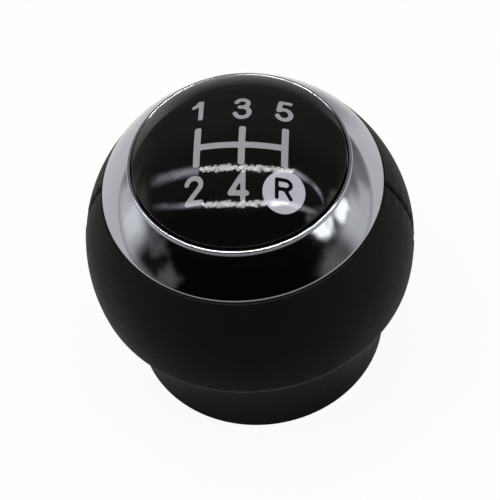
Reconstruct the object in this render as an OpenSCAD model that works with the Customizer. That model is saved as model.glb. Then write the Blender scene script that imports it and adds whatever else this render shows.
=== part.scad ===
// Five-speed gear shift knob.
// A moulded core carries two leather panels that meet at a seam on each side of the ball.
// A plated bezel ring clamps the upper edge of the leather and holds the domed pattern cap.
// A tapered collar clamps the lower edge, and a hexagon insert takes the threaded lever.
// The knob stands on the collar's foot. Z is the lever's axis, and the driver sits towards -Y.
// All lengths are in millimetres.

/* [Ball] */
// Diameter over the leather
ball_d = 52; // [50:0.5:60]
// Height of the ball's centre above the foot
ball_z = 24.3; // [23.5:0.1:30]
// Wall of the moulded core
core_wall = 2.8; // [2.4:0.1:3.4]
// Thickness of the core's top deck
deck_t = 2.2; // [1.6:0.1:3]

/* [Leather] */
// Thickness of the leather with its foam backing
leather_t = 1.3; // [1:0.1:1.6]
// Depth of the lower turned edge below the ball's centre
hem_drop = 5; // [3.5:0.1:6]
// Rounding of the turned edge at the collar
hem_round = 0.8; // [0.4:0.1:0.9]
// Rounding of the turned edge at the ring
ring_hem_round = 0.4; // [0.3:0.1:0.8]
// Width of the flaps that turn in under the ring and over the collar
hem_flap = 2.2; // [1.5:0.1:2.6]
// Leather that shows beyond the ring's edge before it turns under
hem_reveal = 0.25; // [0.1:0.05:0.5]
// Width of the groove between the two panels at a seam
seam_gap = 0.3; // [0.1:0.05:0.6]
// Rounding of each panel's edge at a seam
seam_round = 0.7; // [0.3:0.1:0.9]
// Depth of the seam allowance tucked into the core
seam_tuck = 1.2; // [0.8:0.1:1.5]
// Thickness of the skived seam allowance
seam_flap_t = 0.6; // [0.4:0.1:0.8]

/* [Bezel ring] */
// Radius of the ring's outer edge, as a share of the ball's
ring_share = 0.825; // [0.81:0.005:0.86]
// Height of the ring's face above the leather
ring_proud = 0.1; // [0.05:0.05:0.5]
// Wall of the ring
ring_wall = 1.5; // [1.2:0.1:1.7]
// Rounding of the ring's outer edge
ring_round = 0.35; // [0.2:0.05:0.5]
// Rounding of the bead around the cap, half its width
bead_r = 0.35; // [0.3:0.05:0.6]
// Height of the bead above the ring's face
bead_rise = 0.5; // [0.2:0.05:0.6]
// Thickness of the shelf that carries the cap
shelf_t = 1.4; // [1:0.1:1.8]
// Width of the shelf
shelf_w = 1.5; // [1.2:0.1:2]

/* [Pattern cap] */
// Radius of the cap, as a share of the ring's
cap_share = 0.752; // [0.72:0.001:0.78]
// Radius of the cap's dome
crown_r = 24.3; // [23:0.1:30]
// Height of the cap's edge above the top of the bead
cap_proud = 0.45; // [0.1:0.05:0.6]
// Wall of the cap
cap_wall = 1.8; // [1.4:0.1:2.2]
// Height of the cap's rim
cap_rim_h = 2.4; // [2:0.1:3]
// Rounding of the cap's edge
cap_round = 0.35; // [0.2:0.05:0.5]
// Width of the key that keeps the pattern upright
key_w = 3; // [2:0.5:4]

/* [Collar] */
// How far the collar's rim stands in from the leather above it
collar_inset = 0.9; // [0.5:0.1:1.6]
// How far the foot stands in from the rim
foot_inset = 3.9; // [3:0.05:5]
// Wall of the collar
collar_wall = 2.2; // [1.8:0.1:2.6]
// Height of the straight band at the foot
foot_band_h = 2; // [1.2:0.1:3]
// Rounding of the foot
foot_round = 0.8; // [0.4:0.1:1]
// Height of the straight rim below the leather
collar_rim_h = 1.2; // [0.8:0.1:2]
// Hollow of the collar's flared side
cove_depth = 0.5; // [0.2:0.1:0.9]
// Height of the spigot that enters the core
spigot_h = 7; // [6:0.1:8]
// Wall of the spigot
spigot_wall = 1.5; // [1.2:0.1:1.8]

/* [Lever fitting] */
// Radius of the lever bore at the crests of its thread
thread_minor_r = 5.32; // [4:0.01:6]
// Length of the insert
insert_len = 24; // [20:0.5:25]
// Width of the insert across its flats
insert_af = 16; // [15:0.5:18]
// Chamfer at both ends of the bore
bore_chamfer = 0.9; // [0.4:0.1:1.2]
// Depth of the retaining groove round the insert
insert_groove = 0.9; // [0.5:0.1:1.2]
// Width of the retaining groove
insert_groove_w = 3; // [2:0.5:5]
// Height of the boss's face above the foot
boss_z = 7.5; // [5:0.5:9]
// Wall of the boss outside the insert's corners
boss_wall = 2.2; // [1.8:0.1:2.6]

/* [Ribs and snaps] */
// Number of ribs between the boss and the wall of the core
rib_count = 6; // [3:3:9]
// Thickness of a rib
rib_t = 1.5; // [1:0.1:2]
// Height of the ribs' lower edge above the foot
rib_z = 13; // [12:0.5:15]
// Width of the snap fingers on the ring and on the collar
finger_w = 9; // [7:0.5:10]
// Width of the snap fingers on the cap
cap_finger_w = 6; // [4:0.5:8]
// How far a snap finger catches behind its edge
catch = 0.6; // [0.4:0.1:0.8]
// Height of a snap finger's barb
barb_h = 1.6; // [1.2:0.1:2]
// Width of the slits beside the collar's fingers
relief_w = 1; // [0.6:0.1:1.4]
// Clearance between moulded pieces
fit_gap = 0.12; // [0.08:0.02:0.2]
// Bond line under the leather and round the insert
bond_gap = 0.05; // [0.03:0.01:0.1]

/* [Hidden] */
$fn = 96;

snap_count = 3;
over = 1;

// Radii and levels of the ball
leather_r = ball_d / 2;
ring_r = leather_r * ring_share;
cap_r = ring_r * cap_share;
core_r = leather_r - leather_t - bond_gap;
hem_low_z = ball_z - hem_drop;
core_low_z = hem_low_z + leather_t + bond_gap;
hem_high = at_radius(leather_r, ring_r + hem_reveal);
hem_high_z = ball_z + hem_high;
deck_z = hem_high_z - leather_t - bond_gap;
deck_low_z = deck_z - deck_t;

// Radii and levels of the ring and the cap
ring_face_r = leather_r + ring_proud;
ring_in_r = cap_r + fit_gap;
bead_x = ring_in_r + bead_r;
bead_z = ball_z + at_radius(ring_face_r, bead_x) + bead_rise - bead_r;
bead_top_z = bead_z + bead_r;
cap_edge_z = bead_top_z + cap_proud;
shelf_z = cap_edge_z - cap_rim_h;
shelf_r = ring_in_r - shelf_w;
crown_z = cap_edge_z - at_radius(crown_r, cap_r);

// Radii and levels of the collar and its socket in the core
collar_r = at_radius(leather_r, hem_drop) - collar_inset;
foot_r = collar_r - foot_inset;
socket_r = at_radius(core_r - core_wall, ball_z - core_low_z);
spigot_r = socket_r - fit_gap;
spigot_in_r = spigot_r - spigot_wall;
spigot_top_z = hem_low_z + spigot_h;
flange_low_z = hem_low_z - collar_wall;
rib_out_r = spigot_in_r - fit_gap;

// Radii and levels of the boss and its insert
insert_top_z = boss_z + insert_len;
insert_corner_r = insert_af / 2 / cos(30);
boss_r = insert_corner_r + boss_wall;
groove_r = insert_af / 2 - insert_groove;
groove_z = boss_z + insert_len / 2;

// Height on a circle of radius r at the distance x from its upright axis
function at_radius(r, x) = sqrt(r * r - x * x);

// Everything outside a rounding of radius s, where a circle of radius r
// meets a level edge at height h above the circle's centre.
// The rounding stands out by a fortieth, so that it crosses both edges at a slight angle.
module corner_outside(r, h, s) {
    proud = s / 40;
    y = h - s + proud;
    x = at_radius(r - s + proud, y);
    k = (r + over) / (r - s);
    difference() {
        polygon([[x, y], [x, h + over], [x * k, h + over], [x * k, y * k]]);
        translate([x, y]) circle(r = s);
    }
}

// The same where the circle meets an upright edge at the distance h from its centre
module corner_outside_upright(r, h, s) {
    mirror([1, -1, 0]) corner_outside(r, h, s);
}

// A snap barb in section: its upper face catches, and its lower face leads it in
module barb_section(r, z, height) {
    polygon([[r - over, z], [r + catch, z], [r + catch, z - height / 4],
        [r, z - height], [r - over, z - height]]);
}

// A block along +X at the angle a, from one radius to another and between two levels
module sector_block(a, w, r_from, r_to, z_from, z_to) {
    rotate([0, 0, a]) translate([r_from, -w / 2, z_from])
        cube([r_to - r_from, w, z_to - z_from]);
}

// Section of the leather: the ball's skin with a flap turned in at each edge
module leather_section() {
    skin_in_r = leather_r - leather_t;
    high_in_z = hem_high - leather_t;
    low_in_z = hem_drop - leather_t;
    difference() {
        intersection() {
            circle(r = leather_r);
            translate([0, -hem_drop]) square([leather_r, hem_high + hem_drop]);
        }
        difference() {
            circle(r = skin_in_r);
            translate([ring_r - hem_flap, high_in_z]) square([hem_flap + over, leather_t + over]);
            translate([at_radius(skin_in_r, low_in_z) - hem_flap, -hem_drop - over])
                square([hem_flap + over, leather_t + over]);
        }
        translate([-over, high_in_z]) square([ring_r - hem_flap + over, leather_t + over]);
        translate([-over, -hem_drop - over])
            square([at_radius(skin_in_r, low_in_z) - hem_flap + over, leather_t + over]);
        corner_outside(leather_r, hem_high, ring_hem_round);
        mirror([0, 1]) corner_outside(leather_r, hem_drop, hem_round);
    }
}

// The panel on the -Y side, with its rounded edges and the allowance tucked into the core
module leather_panel() {
    translate([0, 0, ball_z]) {
        difference() {
            rotate_extrude() leather_section();
            translate([-ball_d, -seam_gap / 2, -ball_d]) cube(2 * ball_d);
            rotate([-90, 0, 0]) rotate_extrude() corner_outside(leather_r, -seam_gap / 2, seam_round);
        }
        intersection() {
            rotate([90, 0, 0]) translate([0, 0, seam_gap / 2]) difference() {
                cylinder(r = core_r + bond_gap + leather_t / 2, h = seam_flap_t);
                translate([0, 0, -over]) cylinder(r = core_r - seam_tuck, h = seam_flap_t + 2 * over);
            }
            translate([-ball_d, -ball_d, core_low_z - ball_z])
                cube([2 * ball_d, 2 * ball_d, deck_z - core_low_z]);
        }
    }
}

module front_leather() {
    color("#1b1b1c") leather_panel();
}

module rear_leather() {
    color("#1b1b1c") rotate([0, 0, 180]) leather_panel();
}

// A rib in section, cut back round the collar's spigot
module rib_section() {
    step_z = spigot_top_z + fit_gap;
    polygon([[boss_r - boss_wall / 2, rib_z], [rib_out_r, rib_z], [rib_out_r, step_z],
        [core_r, step_z], [core_r, deck_z - deck_t / 2], [boss_r - boss_wall / 2, deck_z - deck_t / 2]]);
}

// The hexagon pocket that is moulded round the insert, with the plastic in its groove
module insert_pocket() {
    difference() {
        translate([0, 0, boss_z - over])
            cylinder(r = insert_corner_r + bond_gap / cos(30), h = insert_len + bond_gap + over, $fn = 6);
        translate([0, 0, groove_z - insert_groove_w / 2 + bond_gap]) difference() {
            cylinder(r = boss_r, h = insert_groove_w - 2 * bond_gap);
            translate([0, 0, -over])
                cylinder(r = groove_r + bond_gap, h = insert_groove_w + 2 * over);
        }
    }
}

module core() {
    finger_slot_w = finger_w + 2 * fit_gap;
    seam_slot_t = seam_gap + 2 * seam_flap_t + 2 * bond_gap;
    color("#262628") difference() {
        union() {
            difference() {
                intersection() {
                    translate([0, 0, ball_z]) sphere(r = core_r);
                    translate([0, 0, core_low_z]) cylinder(r = leather_r, h = deck_z - core_low_z);
                }
                intersection() {
                    translate([0, 0, ball_z]) sphere(r = core_r - core_wall);
                    translate([0, 0, core_low_z - over])
                        cylinder(r = leather_r, h = deck_low_z - core_low_z + over);
                }
                translate([0, 0, core_low_z - over])
                    cylinder(r = socket_r, h = spigot_top_z - core_low_z + over);
            }
            translate([0, 0, boss_z]) cylinder(r = boss_r, h = deck_z - deck_t / 2 - boss_z);
            intersection() {
                for (i = [0 : rib_count - 1])
                    rotate([90, 0, (i + 0.5) * 360 / rib_count])
                        linear_extrude(height = rib_t, center = true) rib_section();
                translate([0, 0, ball_z]) sphere(r = core_r - core_wall / 2);
            }
        }
        insert_pocket();
        // Slots in the deck for the ring's fingers
        for (i = [0 : snap_count - 1])
            sector_block(i * 360 / snap_count, finger_slot_w, ring_in_r - catch - fit_gap,
                ring_in_r + ring_wall + fit_gap, deck_low_z - over, deck_z + over);
        // Pockets in the wall for the barbs of the collar's fingers
        for (i = [0 : snap_count - 1])
            sector_block((i + 0.5) * 360 / snap_count, finger_slot_w, socket_r - over,
                socket_r + catch + fit_gap, spigot_top_z - barb_h - fit_gap, spigot_top_z + fit_gap);
        // Groove on each side for the seam allowances
        translate([0, 0, ball_z]) rotate([90, 0, 0]) difference() {
            cylinder(r = leather_r, h = seam_slot_t, center = true);
            cylinder(r = core_r - seam_tuck - bond_gap, h = seam_slot_t + over, center = true);
        }
    }
}

module threaded_insert() {
    color("#b9b7ae") difference() {
        translate([0, 0, boss_z]) cylinder(r = insert_corner_r, h = insert_len, $fn = 6);
        translate([0, 0, groove_z - insert_groove_w / 2]) difference() {
            cylinder(r = boss_r, h = insert_groove_w);
            translate([0, 0, -over]) cylinder(r = groove_r, h = insert_groove_w + 2 * over);
        }
        translate([0, 0, boss_z - over]) cylinder(r = thread_minor_r, h = insert_len + 2 * over);
        translate([0, 0, boss_z - over])
            cylinder(r1 = thread_minor_r + bore_chamfer + over, r2 = thread_minor_r, h = bore_chamfer + over);
        translate([0, 0, insert_top_z - bore_chamfer])
            cylinder(r1 = thread_minor_r, r2 = thread_minor_r + bore_chamfer + over, h = bore_chamfer + over);
    }
}

// Section of the ring: a face that follows the ball, a wall down to the deck,
// a bead round the cap and a shelf under it
module ring_section() {
    difference() {
        intersection() {
            translate([0, ball_z]) circle(r = ring_face_r);
            translate([ring_in_r, hem_high_z]) square([ring_r - ring_in_r, ball_d]);
        }
        translate([0, ball_z]) circle(r = ring_face_r - ring_wall);
        translate([0, ball_z]) corner_outside_upright(ring_face_r, ring_r, ring_round);
        translate([ring_in_r - over, bead_z]) square([bead_r + over, ball_d]);
    }
    translate([ring_in_r, deck_z]) square([ring_wall, bead_z - ring_wall - deck_z]);
    translate([bead_x, bead_z]) circle(r = bead_r);
    translate([ring_in_r, bead_z - ring_wall]) square([2 * bead_r, ring_wall]);
    translate([shelf_r, shelf_z - shelf_t]) square([shelf_w + ring_wall / 2, shelf_t]);
}

module bezel_ring() {
    finger_low_z = deck_low_z - fit_gap - barb_h;
    color("#c9ccd2") difference() {
        union() {
            rotate_extrude() ring_section();
            intersection() {
                rotate_extrude() union() {
                    translate([ring_in_r, finger_low_z]) square([ring_wall, deck_z - finger_low_z + over]);
                    barb_section(ring_in_r + ring_wall, deck_low_z - fit_gap, barb_h);
                }
                for (i = [0 : snap_count - 1])
                    sector_block(i * 360 / snap_count, finger_w, 0, leather_r, 0, ball_d);
            }
        }
        // Notch in the shelf that keeps the pattern upright
        sector_block(-90, key_w + 2 * fit_gap, 0, ring_in_r, shelf_z - shelf_t - over, shelf_z + over);
    }
}

module pattern_cap() {
    rim_in_r = cap_r - cap_wall;
    finger_out_r = shelf_r - fit_gap;
    finger_low_z = shelf_z - shelf_t - fit_gap - barb_h;
    color("#0d0d0e") {
        difference() {
            rotate_extrude() difference() {
                intersection() {
                    translate([0, crown_z]) circle(r = crown_r);
                    translate([0, shelf_z]) square([cap_r, ball_d]);
                }
                translate([0, crown_z]) corner_outside_upright(crown_r, cap_r, cap_round);
            }
            intersection() {
                translate([0, 0, crown_z]) sphere(r = crown_r - cap_wall);
                translate([0, 0, shelf_z - over]) cylinder(r = rim_in_r, h = ball_d);
            }
        }
        // Fingers that catch under the ring's shelf
        intersection() {
            rotate_extrude() union() {
                translate([finger_out_r - cap_wall / 2, finger_low_z])
                    square([cap_wall / 2, cap_edge_z - finger_low_z]);
                barb_section(finger_out_r, shelf_z - shelf_t - fit_gap, barb_h);
            }
            for (i = [0 : snap_count - 1])
                sector_block((i + 0.5) * 360 / snap_count, cap_finger_w, 0, cap_r, 0, ball_d);
        }
        // Key for the notch in the shelf
        sector_block(-90, key_w, rim_in_r, cap_r - fit_gap, shelf_z - shelf_t, shelf_z + over);
    }
}

// Section of the collar: a foot band, a flared side, a rim under the leather and a spigot
module collar_section() {
    flare_top_z = hem_low_z - collar_rim_h;
    flare = [collar_r - foot_r, flare_top_z - foot_band_h];
    chord = norm(flare);
    cove_r = (chord * chord / 4 + cove_depth * cove_depth) / (2 * cove_depth);
    middle = [foot_r, foot_band_h] + flare / 2;
    across = [flare[1], -flare[0]] / chord;
    difference() {
        polygon([[0, 0], [foot_r, 0], [foot_r, foot_band_h], [collar_r, flare_top_z],
            [collar_r, hem_low_z], [spigot_r, hem_low_z], [spigot_r, spigot_top_z], [0, spigot_top_z]]);
        polygon([[0, -over], [foot_r - collar_wall, -over], [foot_r - collar_wall, foot_band_h],
            [collar_r - collar_wall, flange_low_z], [spigot_in_r, flange_low_z],
            [spigot_in_r, spigot_top_z + over], [0, spigot_top_z + over]]);
        translate(middle + across * (cove_r - cove_depth)) circle(r = cove_r, $fn = 360);
        translate([foot_r - foot_round, 0]) difference() {
            translate([0, -over]) square([foot_round + over, foot_round + over]);
            translate([0, foot_round]) circle(r = foot_round);
        }
    }
}

module collar() {
    color("#1a1a1b") {
        difference() {
            rotate_extrude() collar_section();
            // Slits that free the snap fingers in the spigot
            for (i = [0 : snap_count - 1], side = [-1, 1])
                rotate([0, 0, (i + 0.5) * 360 / snap_count])
                    translate([0, side * (finger_w + relief_w) / 2 - relief_w / 2, hem_low_z + over])
                        cube([leather_r, relief_w, spigot_h]);
        }
        intersection() {
            rotate_extrude() barb_section(spigot_r, spigot_top_z, barb_h);
            for (i = [0 : snap_count - 1])
                sector_block((i + 0.5) * 360 / snap_count, finger_w, 0, leather_r, 0, ball_d);
        }
    }
}

core();
threaded_insert();
front_leather();
rear_leather();
bezel_ring();
pattern_cap();
collar();
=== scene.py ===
# Looks of the five-speed gear shift knob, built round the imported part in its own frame.
# Sizes in the dictionaries are millimetres, and the meshes are in metres.
import math

import bpy
import bmesh
from mathutils import Matrix, Vector, noise


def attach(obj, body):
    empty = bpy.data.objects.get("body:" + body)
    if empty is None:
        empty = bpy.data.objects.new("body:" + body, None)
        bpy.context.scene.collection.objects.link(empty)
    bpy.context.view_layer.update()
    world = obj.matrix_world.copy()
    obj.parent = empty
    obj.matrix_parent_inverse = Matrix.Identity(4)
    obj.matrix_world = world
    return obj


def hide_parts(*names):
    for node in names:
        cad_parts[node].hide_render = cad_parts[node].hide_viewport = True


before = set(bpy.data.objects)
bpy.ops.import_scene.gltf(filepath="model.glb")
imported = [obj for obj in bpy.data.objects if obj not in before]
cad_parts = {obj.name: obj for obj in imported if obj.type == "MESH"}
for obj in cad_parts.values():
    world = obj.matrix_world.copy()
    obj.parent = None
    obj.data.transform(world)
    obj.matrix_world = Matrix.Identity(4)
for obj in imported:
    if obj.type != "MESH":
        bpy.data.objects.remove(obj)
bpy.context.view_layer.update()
scene = bpy.context.scene
print("frame loaded:", ", ".join(sorted(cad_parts)))

mm = 0.001
fullTurn = 2 * math.pi
mergeGap = 0.0005


def tone(red, green, blue):
    # values as a screen shows them, turned into the linear ones that shaders take
    parts = []
    for part in (red, green, blue):
        part /= 255
        parts.append(part / 12.92 if part <= 0.04045 else ((part + 0.055) / 1.055) ** 2.4)
    return (*parts, 1)


def onCircle(radius, across):
    # height on a circle at a distance from its upright axis
    return math.sqrt(radius * radius - across * across)


def arc(x, z, radius, start, stop, steps):
    # points of an arc, with the angles in degrees from the outward direction
    turns = [math.radians(start + (stop - start) * i / steps) for i in range(steps + 1)]
    return [(x + radius * math.cos(t), z + radius * math.sin(t)) for t in turns]


def slopeOf(across, up):
    return math.degrees(math.atan2(up, across))


def turned(section, turn):
    # a section of (radius, height) pairs, turned about the lever's axis
    return [(r * math.cos(turn), r * math.sin(turn), z) for r, z in section]


def bridge(faces, here, there, count, closed=True):
    # faces between two rows of points
    for j in range(count if closed else count - 1):
        k = (j + 1) % count
        faces.append((here + j, there + j, there + k, here + k))


def loft(faces, first, rows, count):
    # faces through rows of points, closed at both ends
    for i in range(rows):
        bridge(faces, first + i * count, first + (i + 1) * count, count)
    faces.append(tuple(range(first, first + count))[::-1])
    faces.append(tuple(range(first + rows * count, first + (rows + 1) * count)))


def sliver(points, faces, section, width, angle, steps=8):
    # the part of a turned section between two upright planes, such as a snap finger
    first, turn = len(points), math.radians(angle)
    for i in range(steps + 1):
        y = width * (i / steps - 0.5)
        for r, z in section:
            x = onCircle(r, y)
            points.append((x * math.cos(turn) - y * math.sin(turn),
                           x * math.sin(turn) + y * math.cos(turn), z))
    loft(faces, first, steps, len(section))


def finishMesh(name, mesh, sharpAngle):
    # a piece at the origin, with doubles merged, faces turned outwards and only true edges sharp
    work = bmesh.new()
    work.from_mesh(mesh)
    bmesh.ops.remove_doubles(work, verts=work.verts, dist=mergeGap * mm)
    bmesh.ops.recalc_face_normals(work, faces=work.faces)
    work.to_mesh(mesh)
    work.free()
    mesh.polygons.foreach_set("use_smooth", [True] * len(mesh.polygons))
    mesh.set_sharp_from_angle(angle=math.radians(sharpAngle))
    piece = bpy.data.objects.new(name, mesh)
    scene.collection.objects.link(piece)
    return piece


def makePiece(name, points, faces, materials, faceMaterials=None, sharpAngle=32):
    # a finished piece from points in millimetres
    mesh = bpy.data.meshes.new(name)
    mesh.from_pydata([(x * mm, y * mm, z * mm) for x, y, z in points], [], faces)
    for material in materials:
        mesh.materials.append(material)
    if faceMaterials:
        mesh.polygons.foreach_set("material_index", faceMaterials)
    return finishMesh(name, mesh, sharpAngle)


def joinMesh(piece, other):
    # adds the mesh of another object to a piece
    work = bmesh.new()
    work.from_mesh(piece.data)
    work.from_mesh(other.data)
    work.to_mesh(piece.data)
    work.free()
    bpy.data.objects.remove(other)


def addNode(tree, kind, values=None, **settings):
    # a node with its settings, its plain values and the sockets that feed it
    made = tree.nodes.new(kind)
    for key, value in settings.items():
        setattr(made, key, value)
    for key, value in (values or {}).items():
        if isinstance(value, bpy.types.NodeSocket):
            tree.links.new(value, made.inputs[key])
        else:
            made.inputs[key].default_value = value
    return made


def calc(tree, operation, *values):
    # the result of a sum or the like, from numbers and sockets
    return addNode(tree, "ShaderNodeMath", dict(enumerate(values)), operation=operation).outputs[0]


def blend(tree, value, low, high, toLow, toHigh):
    # a soft change from one level to another, while the value goes from low to high
    ends = {"Value": value, "From Min": low, "From Max": high, "To Min": toLow, "To Max": toHigh}
    return addNode(tree, "ShaderNodeMapRange", ends, interpolation_type="SMOOTHSTEP").outputs["Result"]


def mixShader(tree, share, first, second):
    return addNode(tree, "ShaderNodeMixShader", {0: share, 1: first, 2: second}).outputs[0]


def newMaterial(name, **values):
    # a material with its shader's own sockets set, and the object's coordinates in millimetres
    material = bpy.data.materials.new(name)
    material.use_nodes = True
    tree = material.node_tree
    shader = tree.nodes["Principled BSDF"]
    for key, value in values.items():
        shader.inputs[key.replace("_", " ")].default_value = value
    place = addNode(tree, "ShaderNodeTexCoord")
    given = {"Vector": place.outputs["Object"], "Scale": (1 / mm, 1 / mm, 1 / mm)}
    inMm = addNode(tree, "ShaderNodeMapping", given)
    return material, tree, shader, inMm.outputs["Vector"]


def cloudy(tree, place, scale, detail, low=0, high=1):
    # soft noise, spread over the range from low to high
    texture = addNode(tree, "ShaderNodeTexNoise", {"Vector": place, "Scale": scale, "Detail": detail})
    ends = {"Value": texture.outputs["Fac"], "To Min": low, "To Max": high}
    return addNode(tree, "ShaderNodeMapRange", ends).outputs["Result"]


def mixTones(tree, factor, first, second):
    # the colour mixer's own sockets are told apart by number, because three kinds share their names
    mixer = addNode(tree, "ShaderNodeMix", {0: factor, 6: first, 7: second}, data_type="RGBA")
    return mixer.outputs[2]


def addBump(tree, shader, height, depth, strength=0.5):
    bump = addNode(tree, "ShaderNodeBump", {"Height": height, "Distance": depth * mm, "Strength": strength})
    tree.links.new(bump.outputs["Normal"], shader.inputs["Normal"])


def evaluatedMesh(tree, source, values):
    # runs a Geometry Nodes tree on an object and gives back its plain mesh
    modifier = source.modifiers.new("build", "NODES")
    modifier.node_group = tree
    for item in tree.interface.items_tree:
        if item.item_type == "SOCKET" and item.in_out == "INPUT" and item.name in values:
            modifier[item.identifier] = values[item.name]
    graph = bpy.context.evaluated_depsgraph_get()
    mesh = bpy.data.meshes.new_from_object(source.evaluated_get(graph))
    source.modifiers.remove(modifier)
    bpy.data.objects.remove(source)
    return mesh


def newTree(name, inputs):
    # a Geometry Nodes tree with a geometry input and output and named inputs for its sizes
    tree = bpy.data.node_groups.new(name, "GeometryNodeTree")
    tree.interface.new_socket("Geometry", in_out="OUTPUT", socket_type="NodeSocketGeometry")
    tree.interface.new_socket("Geometry", in_out="INPUT", socket_type="NodeSocketGeometry")
    for label, kind in inputs.items():
        tree.interface.new_socket(label, in_out="INPUT", socket_type="NodeSocket" + kind)
    return tree, tree.nodes.new("NodeGroupInput").outputs


def endTree(tree, geometry, material):
    real = addNode(tree, "GeometryNodeRealizeInstances", {"Geometry": geometry})
    dressed = addNode(tree, "GeometryNodeSetMaterial", {"Geometry": real.outputs[0], "Material": material})
    addNode(tree, "NodeGroupOutput", {"Geometry": dressed.outputs[0]})


def outlineObject(name, section):
    # a closed section as a loop of edges, for a tree to sweep
    mesh = bpy.data.meshes.new(name)
    mesh.from_pydata([(x * mm, y * mm, 0) for x, y in section],
                     [(i, (i + 1) % len(section)) for i in range(len(section))], [])
    thing = bpy.data.objects.new(name, mesh)
    scene.collection.objects.link(thing)
    return thing


# The camera stands at the photograph's angle
view = {"focal": 129.6, "sensor": 36, "nearest": 10, "elevation": 55.34, "azimuth": 9.0, "roll": 8.07,
        "distance": 285.75, "aimZ": 24.3, "rise": 1.883}


def addCamera():
    up, side, roll = (math.radians(view[key]) for key in ("elevation", "azimuth", "roll"))
    back = Vector((math.sin(side) * math.cos(up), -math.cos(side) * math.cos(up), math.sin(up)))
    across = Vector((math.cos(side), math.sin(side), 0))
    upward = back.cross(across)
    right = math.cos(roll) * across - math.sin(roll) * upward
    top = math.sin(roll) * across + math.cos(roll) * upward
    place = Vector((0, 0, view["aimZ"])) + back * view["distance"] - top * view["rise"]
    lens = bpy.data.cameras.new("camera")
    lens.lens = view["focal"]
    lens.sensor_width = view["sensor"]
    lens.clip_start = view["nearest"] * mm
    camera = bpy.data.objects.new("camera", lens)
    camera.matrix_world = Matrix.Translation(place * mm) @ Matrix((right, top, back)).transposed().to_4x4()
    scene.collection.objects.link(camera)
    scene.camera = camera


addCamera()
print("camera placed")


# Materials, with every pattern on the object's own coordinates
def leatherMaterial():
    material, tree, shader, place = newMaterial("leather", Roughness=0.52, Specular_IOR_Level=0.05)
    # pebbled grain: cells about half a millimetre across, with finer creases in them
    cells = addNode(tree, "ShaderNodeTexVoronoi", {"Vector": place, "Scale": 1.9}, feature="DISTANCE_TO_EDGE")
    pebbles = blend(tree, cells.outputs["Distance"], 0.0, 0.16, 0.0, 1.0)
    fine = addNode(tree, "ShaderNodeTexNoise", {"Vector": place, "Scale": 5.0, "Detail": 4.0})
    height = calc(tree, "MULTIPLY_ADD", fine.outputs["Fac"], 0.5, pebbles)
    addBump(tree, shader, height, depth=0.035, strength=0.55)
    # the dye lies a little unevenly
    patch = cloudy(tree, place, scale=0.16, detail=3.0)
    dye = mixTones(tree, patch, tone(11, 11, 13), tone(15, 14, 16))
    # painted highlight: the turned edge above the collar is painted pale in patches, for the sheen along it
    split = addNode(tree, "ShaderNodeSeparateXYZ", {0: place})
    hemHighlight = blend(tree, split.outputs["Z"], 19.75, 20.5, 0.9, 0.0)
    patchy = cloudy(tree, place, scale=0.7, detail=3.0, low=0.1, high=1.6)
    # the dye with the painted pale highlight along the hem
    dyeAndHighlight = mixTones(tree, calc(tree, "MULTIPLY", hemHighlight, patchy), dye, tone(76, 74, 76))
    tree.links.new(dyeAndHighlight, shader.inputs["Base Color"])
    wear = cloudy(tree, place, scale=0.35, detail=4.0, low=0.44, high=0.6)
    tree.links.new(wear, shader.inputs["Roughness"])
    return material


def chromeMaterial():
    material, tree, shader, place = newMaterial("ringChrome", Metallic=1.0, Roughness=0.06)
    haze = cloudy(tree, place, scale=0.5, detail=5.0, low=0.04, high=0.12)
    tree.links.new(haze, shader.inputs["Roughness"])
    cloud = cloudy(tree, place, scale=0.2, detail=3.0)
    plating = mixTones(tree, cloud, tone(174, 177, 183), tone(182, 184, 189))
    tree.links.new(plating, shader.inputs["Base Color"])
    ripple = addNode(tree, "ShaderNodeTexNoise", {"Vector": place, "Scale": 0.45, "Detail": 2.0})
    addBump(tree, shader, ripple.outputs["Fac"], depth=0.004)
    return material


def capMaterial(name, low, high):
    # gloss lacquer over black plastic or over the printed ink
    material, tree, shader, place = newMaterial(name, Roughness=0.04, Specular_IOR_Level=0.22)
    cloud = cloudy(tree, place, scale=1.2, detail=3.0)
    body = mixTones(tree, cloud, low, high)
    tree.links.new(body, shader.inputs["Base Color"])
    wiped = cloudy(tree, place, scale=0.8, detail=5.0, low=0.025, high=0.06)
    tree.links.new(wiped, shader.inputs["Roughness"])
    return material


def plasticMaterial(name, low, high, roughness, depth):
    # moulded plastic with the fine matte texture of the tool
    material, tree, shader, place = newMaterial(name, Specular_IOR_Level=0.035)
    cloud = cloudy(tree, place, scale=0.25, detail=3.0)
    body = mixTones(tree, cloud, low, high)
    tree.links.new(body, shader.inputs["Base Color"])
    rough = cloudy(tree, place, scale=0.9, detail=3.0, low=roughness - 0.06, high=roughness + 0.06)
    tree.links.new(rough, shader.inputs["Roughness"])
    spark = addNode(tree, "ShaderNodeTexNoise", {"Vector": place, "Scale": 7.0, "Detail": 3.0})
    addBump(tree, shader, spark.outputs["Fac"], depth)
    return material


def steelMaterial():
    # free-cutting steel with the marks of the tool round its axis
    material, tree, shader, place = newMaterial("insertSteel", Metallic=1.0)
    drawn = addNode(tree, "ShaderNodeMapping", {"Vector": place, "Scale": (0.4, 0.4, 9.0)}).outputs["Vector"]
    marks = addNode(tree, "ShaderNodeTexNoise", {"Vector": drawn, "Scale": 1.0, "Detail": 4.0}).outputs["Fac"]
    body = mixTones(tree, marks, tone(168, 166, 158), tone(198, 196, 190))
    tree.links.new(body, shader.inputs["Base Color"])
    rough = addNode(tree, "ShaderNodeMapRange", {"Value": marks, "To Min": 0.22, "To Max": 0.42})
    tree.links.new(rough.outputs["Result"], shader.inputs["Roughness"])
    addBump(tree, shader, marks, depth=0.01)
    return material


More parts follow.
